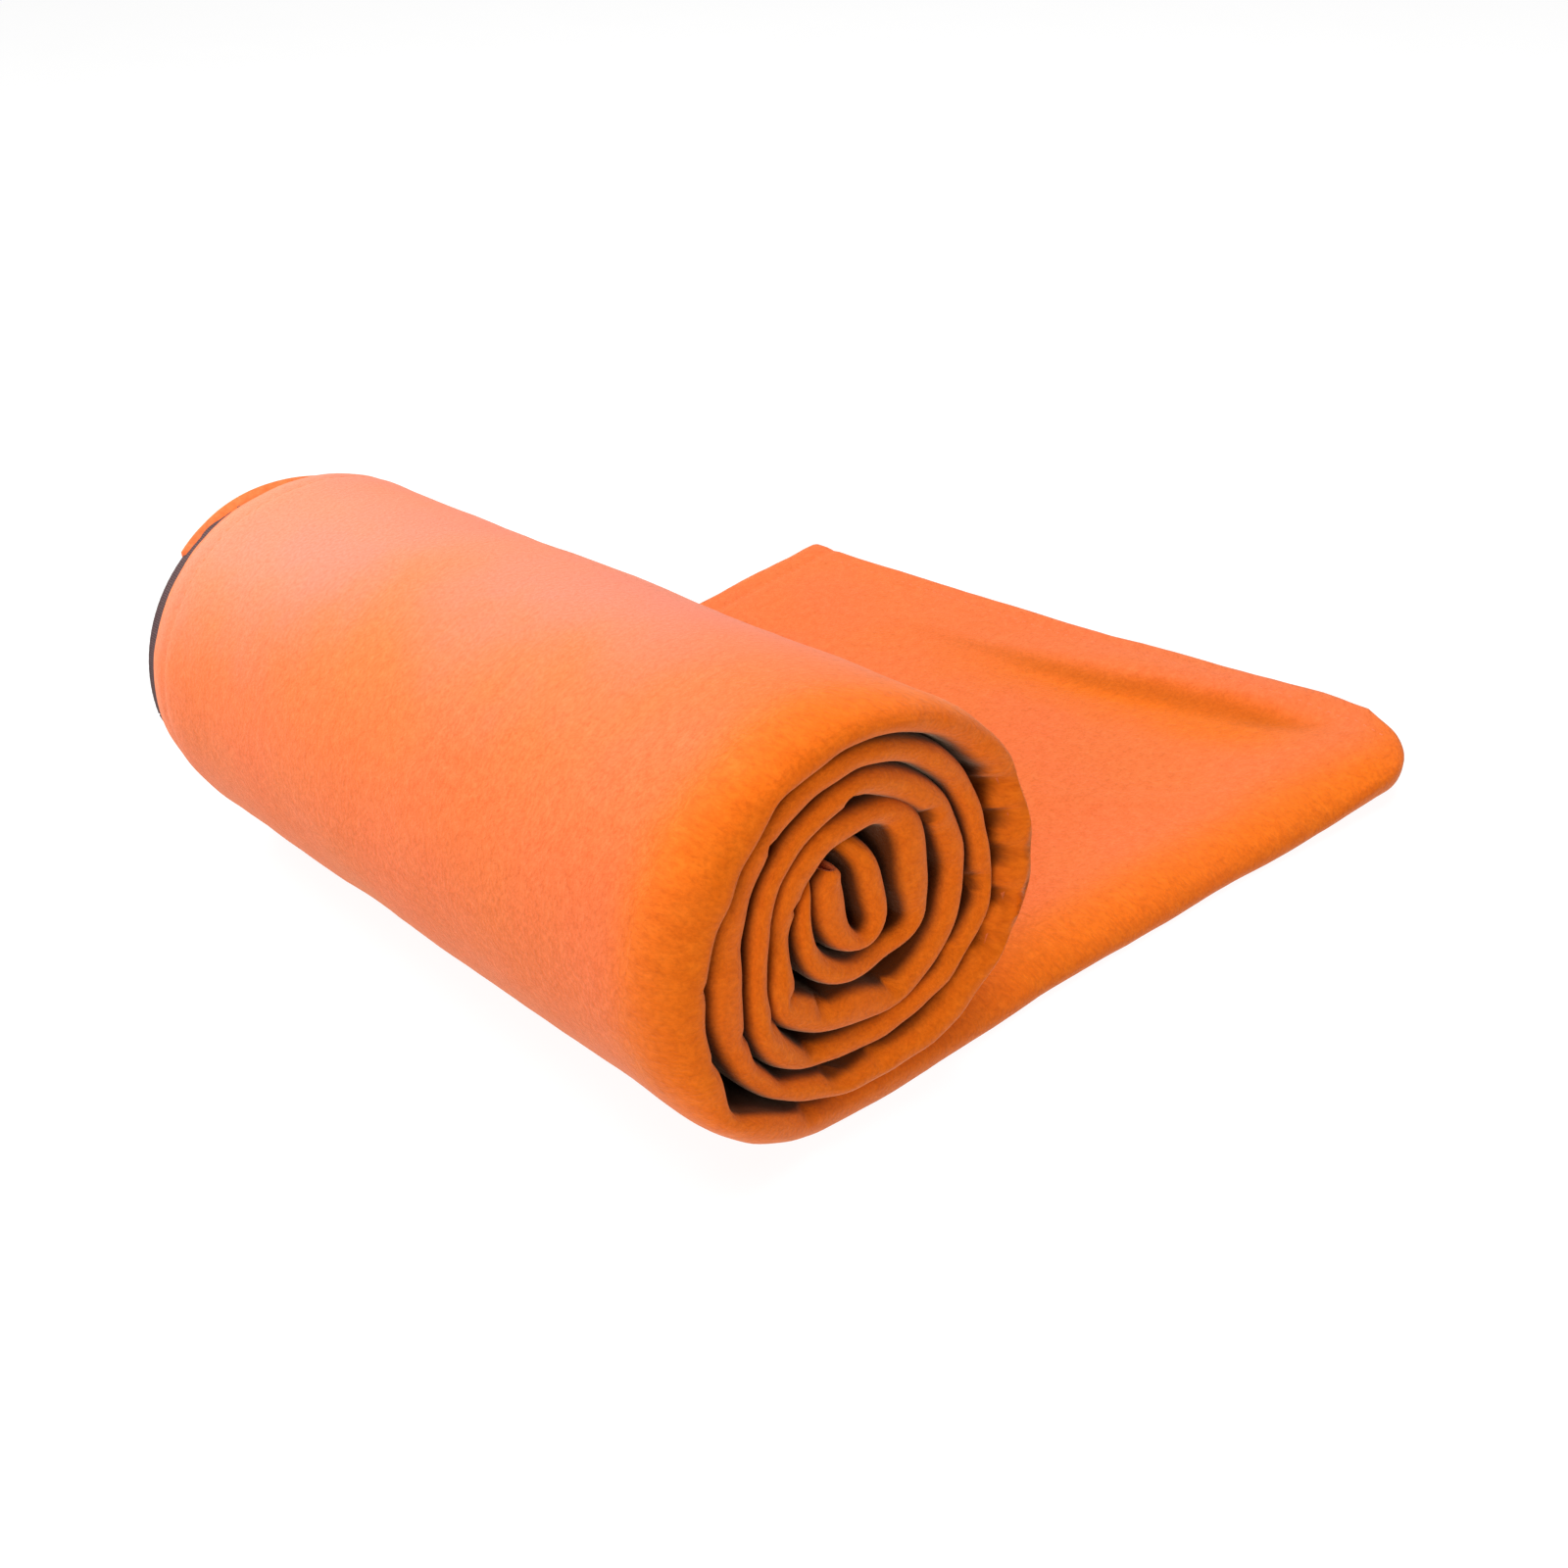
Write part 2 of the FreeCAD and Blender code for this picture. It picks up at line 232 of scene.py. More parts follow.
def resampled(line):
    """The line's rows at even steps along it, closer together in the core."""
    along = along_line(line[:, 1], line[:, 2])
    places = [0.0]
    while places[-1] < along[-1] - 1.0:
        in_core = np.interp(places[-1], along, line[:, 0]) > 360 * (len(WRAPS) - 1)
        places.append(places[-1] + (CORE_STEP if in_core else STEP))
    return np.stack([np.interp(places, along, column) for column in line.T], axis=1)


def softened(rows, rounds):
    """The rows evened out, with both ends kept."""
    rows = rows.copy()
    for _ in range(rounds):
        rows[1:-1] = (rows[:-2] + 2 * rows[1:-1] + rows[2:]) / 4
    return rows


roll_rows = resampled(np.concatenate([wrap_line(), core_line()]))
roll_rows[:, 1:] = softened(roll_rows[:, 1:], 2)
flap_rows = flap_line()
angle, line_x, line_z, fold_width, crest = np.concatenate([flap_rows, roll_rows]).T
on_flap = angle < 0
along = along_line(line_x, line_z)
wrap = np.clip(np.floor(angle / 360), 0, len(WRAPS))
# The direction towards the ribbon's outer face: down on the flap, away from the axis on the roll.
outward = np.stack([np.gradient(line_z), -np.gradient(line_x)], axis=1)
outward /= -np.linalg.norm(outward, axis=1)[:, None]
outward[on_flap] = (0, -1)
in_roll = along[-1] - along[~on_flap][0]
print(f"the cloth's middle line is {along[-1]:.0f} mm long, {in_roll:.0f} mm in the roll")


# --- Where the fold and the hems run, at every station ----------------------------------------------------

def fold_line():
    """Y of the fold's crest.

    The folded end of the roll leans a little, its inner wraps lie deeper, and the edge wavers."""
    tilt = -0.073 * line_x + 0.022 * (line_z - ROLL_CENTRE[1])
    recess = np.interp(angle, (0, 300, 420, 1500, 1900), (0, 0, 1.8, 3.4, 4.6))
    dips = sum(depth * bell(angle - place, spread) for place, depth, spread in DIPS)
    on_roll = FOLD_Y + tilt + recess + dips + 0.7 * wavy(along, 19, 1) + 0.4 * wavy(along, 7, 2)
    on_table = np.interp(line_x, *zip(*FLAP_FOLD_LINE))
    reach = CORNER_X * math.sin(math.pi / 4)
    towards_end = np.clip((line_x - SLANT_FROM) / (FLAP_END - SLANT_FROM), 0, 1)
    crest_x = SLANT_FROM + towards_end * (END_AT_FOLD - CORNER_X + reach - SLANT_FROM)
    into_corner = np.clip((crest_x - END_AT_FOLD + CORNER_X) / CORNER_X, 0, 1) * on_flap
    on_table = on_table + CORNER_Y * (1 - np.sqrt(1 - into_corner**2))
    return on_table + (on_roll - on_table) * smoothstep(angle / 45)


# Where the tape is between the plies, where the inner ply sticks out beyond it, and how much fuller the
# outermost wrap is at the hem than its taper.
loop_zone = smoothstep((angle - 60) / 25) * smoothstep((215 - angle) / 25)
bared = smoothstep((angle - 70) / 40) * smoothstep((238 - angle) / 40)
fuller = 2.0 * bell(angle - 222, 42)
ragged = 0.9 * wavy(along, 60, 3) + 0.5 * wavy(along, 17, 4)
on_roll = smoothstep(angle / 45)
fold_y = fold_line()
flap_hem = np.interp(line_x, *zip(*FLAP_HEM_LINE))
outer_hem = np.where(on_flap, flap_hem - 0.8, HEM_Y - 0.3 * wrap) + 0.5 * ragged * on_roll
outer_hem = outer_hem + 2.2 * bell(angle - 76, 17)       # over the tape's lower end
inner_hem = np.where(on_flap, flap_hem, HEM_Y - 0.8 - 0.5 * wrap)
inner_hem = inner_hem + (LIP_REACH + 0.8 * bell(angle - 160, 40)) * bared
inner_hem = inner_hem - 0.8 * ragged * on_roll * (1 - bared)
outer_reach = np.interp(angle, (-10, 45, 180, 230, 270, 330, 400), (3.2, 12, 12, 8, 3.8, 4.4, 5.2))
inner_reach = np.interp(angle, (-196, -160, -60, -10, 30, 200, 250, 290, 340, 400),
                        (7, 12, 12, 8, 4.0, 4.0, 11, 12, 7, 5.0))
fold_crease = sum(depth * bell(angle - 360 * number - place, spread)
                  for number, place, depth, spread in CREASES)
depth = np.minimum(2 * FLEECE + PLY_GAP, fold_width)
ply = np.minimum(FLEECE, (depth - PLY_GAP) / 2)
even_depth = softened(depth[:, None], 400)[:, 0]         # in the outermost wrap the hem has no notches
hem_depth = depth + (even_depth - depth) * smoothstep((350 - angle) / 50) + 0.9 * loop_zone


# --- The ring of points at every station ------------------------------------------------------------------

def loop_of_points(fold_y, outer_reach, inner_reach, outer_hem, inner_hem, outside, width, depth):
    """One loop of the ring, from the outer ply's hem round the fold to the inner ply's hem.

    Every argument has one value a station. Gives y and the offset from the middle line, with one row a
    station."""
    rows = []
    last = HEM_STATIONS[-1]
    middle = [step / (MIDDLE_STEPS + 1) for step in range(1, MIDDLE_STEPS + 1)]
    turns = [math.pi / 2 * step / FOLD_STEPS for step in range(FOLD_STEPS + 1)]
    for gap in HEM_STATIONS:
        rows.append((outer_hem - gap, outside))
    for share in middle:
        rows.append((outer_hem - last + (fold_y + outer_reach - outer_hem + last) * share, outside))
    for turn in turns:
        rows.append((fold_y + outer_reach * (1 - math.sin(turn)),
                     outside - width * crest * (1 - math.cos(turn))))
    for turn in turns[-2::-1]:
        rows.append((fold_y + inner_reach * (1 - math.sin(turn)) + fold_crease * math.sin(2 * turn),
                     outside - width + width * (1 - crest) * (1 - math.cos(turn))))
    inner_ys = [fold_y + inner_reach + (inner_hem - last - fold_y - inner_reach) * share for share in middle]
    for y in inner_ys + [inner_hem - gap for gap in HEM_STATIONS[::-1]]:
        rows.append((y, outside - width + (width - depth) * smoothstep((y - fold_y - inner_reach) / 25)))
    return (np.stack(columns, axis=1) for columns in zip(*rows))


def hem_relief(y, hem):
    """How far the stitches pull the face in; beside them the hem puffs out."""
    gap = hem[:, None] - y
    return 0.35 * bell(gap - HEM_WIDTH, 1.3) - 0.2 * np.sin(np.pi * np.clip(gap / HEM_WIDTH, 0, 1))


def end_x(y):
    """X of the flap's end at y: a slant, with the rounded folded corner."""
    corner_y = FLAP_FOLD_LINE[-1][1] + CORNER_Y
    to_hem = np.clip((y - corner_y) / (HEM_CORNER_Y - corner_y), 0, 1)
    slant = END_AT_FOLD + (END_AT_HEM - END_AT_FOLD) * to_hem
    into_corner = np.clip((corner_y - y) / CORNER_Y, 0, 1)
    return slant - CORNER_X * (1 - np.sqrt(1 - into_corner**2))


def flap_relief(x, y, topness):
    """How much higher the flap's cloth is at x, y; topness is 1 in the upper ply and 0 in the lower."""
    from_valley = x - np.interp(y, *zip(*[(row[1], row[0]) for row in VALLEY]))
    strength = smoothstep((25 - y) / 50) * smoothstep((y + 90) / 28)
    puff = (VALLEY_PUFF * bell(from_valley - 14, 9) * strength
            - VALLEY_DEPTH * bell(from_valley, 7) * strength)
    puff = puff + 0.9 * bell(y - np.interp(x, *zip(*RIDGE)), 3.5) * smoothstep((x - 50) / 40)
    lift = CORNER_LIFT * smoothstep((x - 130) / 75) * smoothstep((45 - y) / 150)
    return lift + puff * topness


def size_at(y):
    """The roll's size at y, as a share of its size at the folded end."""
    return 1 + (HEM_END_SCALE - 1) * (y - FOLD_Y) / (HEM_Y - FOLD_Y)


def placed(y, offset):
    """The loop's points in space, with one row a station."""
    x = line_x[:, None] + outward[:, :1] * offset
    z = line_z[:, None] + outward[:, 1:] * offset
    # The outer ply's hem curls in, and the inner ply's flares out where it is bared.
    curled_in = CURL_IN * smoothstep((y - HEM_Y + 9) / 10) * (on_roll * (angle < 330))[:, None] * (offset > 0)
    flared = LIP_FLARE * smoothstep((y - HEM_Y - 3.0) / 2.4) * bared[:, None]
    push = flared - curled_in + fuller[:, None] * (y - FOLD_Y) / (HEM_Y - FOLD_Y)
    x = x + outward[:, :1] * push
    z = z + outward[:, 1:] * push
    size = 1 + (size_at(y) - 1) * on_roll[:, None]
    x, z = x * size, z * size
    # Towards the flap's end the stations turn with it.
    turning = np.clip((line_x - SLANT_FROM) / (FLAP_END - SLANT_FROM), 0, 1)[:, None] * on_flap[:, None]
    x = np.where(turning > 0, SLANT_FROM + turning * (end_x(y[0]) - SLANT_FROM), x)
    topness = np.clip((fold_width[:, None] / 2 - offset) / fold_width[:, None], 0, 1)
    z = np.maximum(z + flap_relief(x, y, topness) * on_flap[:, None], 0)
    return np.stack([x, y, z], axis=2)


def thinned_to_ends(outer, inner):
    """Both loops, drawn together at the ribbon's two ends, so that each ply has a rounded edge."""
    from_end = np.minimum(along, along[-1] - along)
    share = np.sqrt(1 - (1 - np.clip(from_end / (FLEECE / 2), 0.02, 1)) ** 2)[:, None, None]
    middle = (outer + inner) / 2
    return middle + (outer - middle) * share, middle + (inner - middle) * share


def hem_edge(outer, inner):
    """The round edge of a hem, from the outer loop's last point to the inner loop's."""
    middle, half = (outer + inner) / 2, (outer - inner) / 2
    reach = np.linalg.norm(half, axis=1)[:, None] * np.array((0, 1, 0))
    return [middle + half * math.sin(turn) + reach * math.cos(turn) for turn in HEM_TURNS]


def both_loops():
    """The outer and the inner loop of every ring, in space."""
    half = fold_width / 2
    outer_y, outer_offset = loop_of_points(fold_y, outer_reach, inner_reach, outer_hem - ply / 2,
                                           inner_hem - ply / 2, half, fold_width, hem_depth)
    inner_y, inner_offset = loop_of_points(fold_y + ply, np.maximum(outer_reach - ply, 1),
                                           np.maximum(inner_reach - ply, 1), outer_hem - ply / 2,
                                           inner_hem - ply / 2, half - ply, fold_width - 2 * ply,
                                           hem_depth - 2 * ply)
    turn_column = outer_y.shape[1] // 2
    outer_offset[:, :turn_column] -= hem_relief(outer_y[:, :turn_column], outer_hem)
    outer_offset[:, turn_column:] += hem_relief(outer_y[:, turn_column:], inner_hem)
    grid_along = np.repeat(along[:, None], outer_y.shape[1], axis=1)
    side = np.where(np.arange(outer_y.shape[1]) < turn_column, 0, 400)
    outer_offset += 0.35 * wavy_grid(outer_y + side, grid_along, 26, 1)
    outer_offset += 0.12 * wavy_grid(outer_y + side, grid_along, 7, 2)
    return thinned_to_ends(placed(outer_y, outer_offset), placed(inner_y, inner_offset))


outer_loop, inner_loop = both_loops()
LOOP_COUNT = outer_loop.shape[1]
rings = np.concatenate(
    [outer_loop.transpose(1, 0, 2), hem_edge(outer_loop[:, -1], inner_loop[:, -1]),
     inner_loop[:, ::-1].transpose(1, 0, 2), hem_edge(outer_loop[:, 0], inner_loop[:, 0])[::-1]]
).transpose(1, 0, 2)
RING_COUNT = rings.shape[1]
# How far round the ring each point is, from the outer hem, and where the fold is.
ACROSS = np.concatenate([[0], np.cumsum(np.linalg.norm(np.diff(rings[len(flap_rows)], axis=0), axis=1))])
ACROSS = np.append(ACROSS, ACROSS[-1] + FLEECE)
FOLD_PLACE = ACROSS[LOOP_COUNT // 2]
ROLL_START = np.interp(5, angle, along)          # where the inner ply goes in under the roll
SECOND_WRAP = np.interp(365, angle, along)       # and where the outer ply does
DEEP_CREASES = [np.interp(360 * number + place, angle, along)
                for number, place, depth, _ in CREASES if depth > 2.9]
# Where along the cloth the painted pink sheen on the roll's top rises and falls away.
TOP_SHEEN_PLACES = [np.interp(compass, angle, along) for compass in (126, 188, 262, 305)]


# --- Materials --------------------------------------------------------------------------------------------

class Nodes:
    """A new material, with short calls for adding nodes to it."""

    def __init__(self, name):
        self.material = bpy.data.materials.new(name)
        self.material.use_nodes = True
        self.tree = self.material.node_tree
        self.shader = self.tree.nodes["Principled BSDF"]

    def add(self, kind, **inputs):
        node = self.tree.nodes.new(kind)
        for name, value in inputs.items():
            self.feed(node.inputs[name.replace("_", " ")], value)
        return node

    def feed(self, socket, value):
        if isinstance(value, bpy.types.NodeSocket):
            self.tree.links.new(value, socket)
        else:
            socket.default_value = value

    def cloth_place(self):
        """The place on the cloth in millimetres, from the piece's own map."""
        pin = self.tree.nodes.new("ShaderNodeUVMap")
        pin.uv_map = "cloth"
        scaled = self.tree.nodes.new("ShaderNodeVectorMath")
        scaled.operation = "SCALE"
        self.feed(scaled.inputs[0], pin.outputs["UV"])
        scaled.inputs["Scale"].default_value = 1 / MM
        return scaled.outputs["Vector"]

    def parts(self, place):
        """The place along the cloth, and the distance round it from its lengthwise fold.

        The distance is below 0 in the outer ply and above 0 in the inner one."""
        node = self.tree.nodes.new("ShaderNodeSeparateXYZ")
        self.feed(node.inputs[0], place)
        return node.outputs["X"], self.maths("SUBTRACT", node.outputs["Y"], FOLD_PLACE)

    def rise(self, value, start, end):
        """0 at the start, 1 at the end, and an even S between."""
        node = self.tree.nodes.new("ShaderNodeMapRange")
        node.interpolation_type = "SMOOTHSTEP"
        for name, given in (("Value", value), ("From Min", start), ("From Max", end)):
            self.feed(node.inputs[name], given)
        return node.outputs["Result"]

    def product(self, first, *others):
        for other in others:
            first = self.maths("MULTIPLY", first, other)
        return first

    def noise_at(self, place, wavelength, detail=3.0, roughness=0.55):
        node = self.add("ShaderNodeTexNoise", Vector=place, Scale=1 / wavelength, Detail=detail)
        node.inputs["Roughness"].default_value = roughness
        return node.outputs["Fac"]

    def ramp(self, value, stops):
        """A colour ramp with stops of (place, colour)."""
        node = self.add("ShaderNodeValToRGB", Fac=value)
        elements = node.color_ramp.elements
        for element, (place, colour) in zip(elements, (stops[0], stops[-1])):
            element.position, element.color = place, (*colour, 1)
        for place, colour in stops[1:-1]:
            elements.new(place).color = (*colour, 1)
        return node.outputs["Color"]

    def mixed(self, first, second, share, blend_type="MIX"):
        node = self.tree.nodes.new("ShaderNodeMix")
        node.data_type, node.blend_type = "RGBA", blend_type
        for socket, value in zip((node.inputs[0], node.inputs[6], node.inputs[7]), (share, first, second)):
            self.feed(socket, value)
        return node.outputs[2]

    def maths(self, operation, *values):
        node = self.tree.nodes.new("ShaderNodeMath")
        node.operation = operation
        for socket, value in zip(node.inputs, values):
            self.feed(socket, value)
        return node.outputs[0]

    def bump(self, height, distance, strength, below=None):
        node = self.add("ShaderNodeBump", Height=height, Strength=strength, Distance=distance)
        if below is not None:
            self.feed(node.inputs["Normal"], below)
        return node.outputs["Normal"]

    def shade(self, **inputs):
        for name, value in inputs.items():
            self.feed(self.shader.inputs[name.replace("_", " ")], value)
        return self.material


def gap_shade_mask(nodes, along_cloth, from_fold):
    """The painted shade in the gap between two wraps, behind the rounded folds, where no light gets to: how
    deep a place is there.
    """
    outer_ply = nodes.rise(from_fold, 0.5, -0.5)
    starts = nodes.maths("MULTIPLY_ADD", outer_ply, SECOND_WRAP - ROLL_START, ROLL_START)
    covered = nodes.rise(nodes.maths("SUBTRACT", along_cloth, starts), -10.0, 14.0)
    distance = nodes.maths("ABSOLUTE", from_fold)
    return nodes.product(covered, nodes.rise(distance, 2.8, 6.8), nodes.rise(distance, 100.0, 60.0))


def crease_shade_mask(nodes, along_cloth, from_fold):
    """The painted shade in the deeper creases across the folds, which widen towards the gap: how deep a place
    is in one.
    """
    deepest = None
    reach = nodes.maths("MULTIPLY_ADD", from_fold, 0.62, 0.1)
    for crease_place in DEEP_CREASES:
        aside = nodes.maths("ABSOLUTE", nodes.maths("SUBTRACT", along_cloth, crease_place))
        crease = nodes.rise(nodes.maths("SUBTRACT", aside, reach), 1.2, -0.9)
        deepest = crease if deepest is None else nodes.maths("MAXIMUM", deepest, crease)
    return nodes.product(deepest, nodes.rise(from_fold, 0.5, 2.8), nodes.rise(from_fold, 60.0, 30.0))


def painted_top_sheen_mask(nodes, along_cloth, from_fold, patches):
    """How much of the painted pale pink sheen the roll's top gets."""
    wandering = nodes.maths("MULTIPLY_ADD", patches, 36.0, -18.0)
    around = nodes.maths("ADD", along_cloth, wandering)
    around = nodes.maths("ADD", around, nodes.maths("MULTIPLY", nodes.rise(from_fold, -105.0, -185.0), 30.0))
    return nodes.product(nodes.rise(around, TOP_SHEEN_PLACES[0], TOP_SHEEN_PLACES[1]), nodes.rise(around, TOP_SHEEN_PLACES[3], TOP_SHEEN_PLACES[2]),
                         nodes.rise(from_fold, -4.0, -75.0))


def across_the_valley(nodes, along_cloth, from_fold, patches):
    """The distance from the flap's valley, above 0 towards the roll, and how strongly the valley's painted
    shade shows there.
    """
    centre = nodes.maths("MULTIPLY_ADD", from_fold, 0.15, 11.0)
    wandering = nodes.maths("MULTIPLY_ADD", patches, 8.0, -4.0)
    aside = nodes.maths("ADD", nodes.maths("SUBTRACT", along_cloth, centre), wandering)
    strength = nodes.product(nodes.rise(from_fold, 16.0, 38.0), nodes.rise(from_fold, 150.0, 60.0))
    return aside, strength


def fleece_material():
    """Brushed microfibre: fine tufts, clumps a few millimetres wide, a soft pale sheen, and painted sheen and
    shade.
    """
    nodes = Nodes("brushed_fleece")
    place = nodes.cloth_place()
    along_cloth, from_fold = nodes.parts(place)
    tufts = nodes.noise_at(place, 0.9, 4.0, 0.7)
    clumps = nodes.noise_at(place, 2.6, 3.0, 0.6)
    patches = nodes.noise_at(place, 30.0, 3.0, 0.55)
    # The pile away from the fold (flat) is paler and pinker than near it (parted): partly a real difference
    # in the pile, partly painted sheen.
    flat = nodes.ramp(clumps, ((0.3, (0.60, 0.116, 0.030)), (0.5, (0.64, 0.130, 0.038)),
                               (0.7, (0.68, 0.146, 0.046))))
    parted = nodes.ramp(clumps, ((0.3, (0.60, 0.106, 0.0020)), (0.5, (0.64, 0.119, 0.003)),
                                 (0.7, (0.68, 0.135, 0.005))))
    away = nodes.rise(nodes.maths("ABSOLUTE", from_fold), 2.5, 19.0)
    colour = nodes.mixed(parted, flat, away)
    # Painted sheen: the roll's top is painted pale pink, as a highlight.
    painted_top_sheen = painted_top_sheen_mask(nodes, along_cloth, from_fold, patches)
    colour = nodes.mixed(colour, (0.60, 0.168, 0.112, 1), painted_top_sheen)
    # Painted shade along the flap's soft valley: the deeper parted colour beside it, and a darker colour in
    # its bottom.
    aside, strength = across_the_valley(nodes, along_cloth, from_fold, patches)
    beside = nodes.product(strength, nodes.rise(aside, -7.0, 1.0), nodes.rise(aside, 24.0, 5.0))
    colour = nodes.mixed(colour, parted, beside)
    painted_valley_shade = nodes.product(strength, nodes.rise(nodes.maths("ABSOLUTE", aside), 6.5, 0.0), 0.75)
    colour = nodes.mixed(colour, (0.40, 0.075, 0.003, 1), painted_valley_shade)
    shades = nodes.ramp(patches, ((0.35, (0.97, 1.01, 0.88)), (0.65, (1.0, 0.98, 1.0))))
    colour = nodes.mixed(colour, shades, 1.0, "MULTIPLY")
    speckle = nodes.ramp(tufts, ((0.3, (0.78, 0.73, 0.60)), (0.6, (1.0, 1.0, 1.0))))
    colour = nodes.mixed(colour, speckle, 1.0, "MULTIPLY")
    # Painted shade, darkened to near black: in the gaps between the wraps, and in the deeper creases.
    painted_gap_shade = nodes.maths("MULTIPLY", gap_shade_mask(nodes, along_cloth, from_fold), 0.9)
    painted_crease_shade = nodes.maths("MULTIPLY", crease_shade_mask(nodes, along_cloth, from_fold), 0.72)
    painted_gap_shade = nodes.maths("MAXIMUM", painted_gap_shade, painted_crease_shade)
    colour = nodes.mixed(colour, (0.030, 0.006, 0.0006, 1), painted_gap_shade)
    soft = nodes.bump(clumps, 0.5 * MM, 0.3)
    normal = nodes.bump(tufts, 0.35 * MM, 0.6, soft)
    return nodes.shade(Base_Color=colour, Roughness=0.6, Specular_IOR_Level=0.05, Normal=normal,
                       Sheen_Weight=0.2, Sheen_Roughness=0.42, Sheen_Tint=(1.0, 0.74, 0.52, 1))


def thread_material():
    """Twisted polyester sewing thread."""
    nodes = Nodes("sewing_thread")
    place = nodes.cloth_place()
    twist = nodes.add("ShaderNodeTexWave", Vector=place, Scale=1.1, Distortion=0.4)
    twist.bands_direction = "DIAGONAL"
    height = twist.outputs["Fac"]
    colour = nodes.ramp(height, ((0.0, (0.52, 0.104, 0.020)), (1.0, (0.62, 0.138, 0.052))))
    return nodes.shade(Base_Color=colour, Roughness=0.5, Normal=nodes.bump(height, 0.06 * MM, 0.6),
                       Specular_IOR_Level=0.2, Sheen_Weight=0.1, Sheen_Roughness=0.4)


def tape_material(name, dark, light):
    """Woven tape: ribs across it, with the yarns of a plain weave."""
    nodes = Nodes(name)
    place = nodes.cloth_place()
    rows = nodes.add("ShaderNodeTexWave", Vector=place, Scale=0.55, Distortion=0.3, Detail=1.0)
    columns = nodes.add("ShaderNodeTexWave", Vector=place, Scale=0.75, Distortion=0.3, Detail=1.0)
    columns.bands_direction = "Y"
    weave = nodes.maths("MULTIPLY", rows.outputs["Fac"], columns.outputs["Fac"])
    fuzz = nodes.noise_at(place, 0.4)
    colour = nodes.mixed(nodes.ramp(weave, ((0.0, dark), (0.8, light))), (0.42, 0.30, 0.30, 1),
                         nodes.maths("MULTIPLY", fuzz, 0.05))
    normal = nodes.bump(weave, 0.16 * MM, 0.7)
    return nodes.shade(Base_Color=colour, Roughness=0.7, Normal=normal, Specular_IOR_Level=0.2,
                       Sheen_Weight=0.06, Sheen_Roughness=0.35)


def satin_material():
    """White satin: long fine floats, a soft shine."""
    nodes = Nodes("label_satin")
    place = nodes.cloth_place()
    floats = nodes.add("ShaderNodeTexWave", Vector=place, Scale=1.6, Distortion=0.6, Detail=2.0)
    height = floats.outputs["Fac"]
    colour = nodes.ramp(height, ((0.0, (0.74, 0.73, 0.70)), (1.0, (0.88, 0.87, 0.84))))
    return nodes.shade(Base_Color=colour, Roughness=0.33, Anisotropic=0.5,
                       Normal=nodes.bump(height, 0.03 * MM, 0.5))


def floor_material():
    """A plain white studio floor, lit from inside as well, so that it stays pale round the towel."""
    nodes = Nodes("studio_floor")
    place = nodes.add("ShaderNodeTexCoord").outputs["Object"]
    grain = nodes.noise_at(place, 0.05)
    colour = nodes.ramp(grain, ((0.0, (0.13, 0.13, 0.13)), (1.0, (0.15, 0.15, 0.15))))
    return nodes.shade(Base_Color=colour, Roughness=0.9, Specular_IOR_Level=0.0,
                       Emission_Color=(1, 1, 1, 1), Emission_Strength=0.90)


FLEECE_LOOK = fleece_material()
THREAD_LOOK = thread_material()
TACK_LOOK = tape_material("tack_thread", (0.02, 0.015, 0.016), (0.07, 0.05, 0.052))
TAPE_LOOK = tape_material("loop_tape", (0.030, 0.014, 0.015), (0.090, 0.044, 0.045))
SATIN_LOOK = satin_material()


# --- Making pieces ----------------------------------------------------------------------------------------

def new_piece(name, points, faces, uvs, material, sharp=None):
    """A smooth mesh from points in millimetres; uvs has one (u, v) in millimetres for each face corner.

    Where it is given, sharp says which edges are sharp, from the numbers of their two points."""
    mesh = bpy.data.meshes.new(name)
    mesh.from_pydata((np.asarray(points) * MM).tolist(), [], faces)
    layer = mesh.uv_layers.new(name="cloth")
    layer.data.foreach_set("uv", (np.asarray(uvs, float) * MM).ravel())
    mesh.shade_smooth()
    if sharp is not None:
        ends = np.zeros(2 * len(mesh.edges), int)
        mesh.edges.foreach_get("vertices", ends)
        marks = mesh.attributes.new("sharp_edge", "BOOLEAN", "EDGE")
        marks.data.foreach_set("value", sharp(ends.reshape(-1, 2)))
    mesh.materials.append(material)
    mesh.validate()
    piece = bpy.data.objects.new(name, mesh)
    bpy.context.scene.collection.objects.link(piece)
    return piece


def tube_faces(first, sides, places, step):
    """The faces and uvs of a closed tube, whose rings of points start at the point numbered first.

    places says how far along the tube each ring is, and step how far apart the points of a ring are."""
    faces, uvs = [], []
    starts = [first + sides * number for number in range(len(places))]
    for low, high, u0, u1 in zip(starts, starts[1:], places, places[1:]):
        for corner in range(sides):
            following = (corner + 1) % sides
            faces.append([low + corner, low + following, high + following, high + corner])
            v0, v1 = corner * step, (corner + 1) * step
            uvs += [(u0, v0), (u0, v1), (u1, v1), (u1, v0)]
    for start, place, order in ((starts[0], places[0], -1), (starts[-1], places[-1], 1)):
        faces.append([start + corner for corner in range(sides)][::order])
        uvs += [(place, corner * step) for corner in range(sides)]
    return faces, uvs


def cap_faces(first):
    """The faces that close a piece of cloth across its two plies, at the ring whose first point is given."""
    last = LOOP_COUNT - 1
    inner_start = LOOP_COUNT + len(HEM_TURNS)
    inner = [inner_start + last - place for place in range(LOOP_COUNT)]
    faces = [[place, place + 1, inner[place + 1], inner[place]] for place in range(last)]
    faces.append([last] + list(range(LOOP_COUNT, inner_start + 1)))
    faces.append([inner[0]] + list(range(inner[0] + 1, RING_COUNT)) + [0])
    return [[first + corner for corner in face] for face in faces]


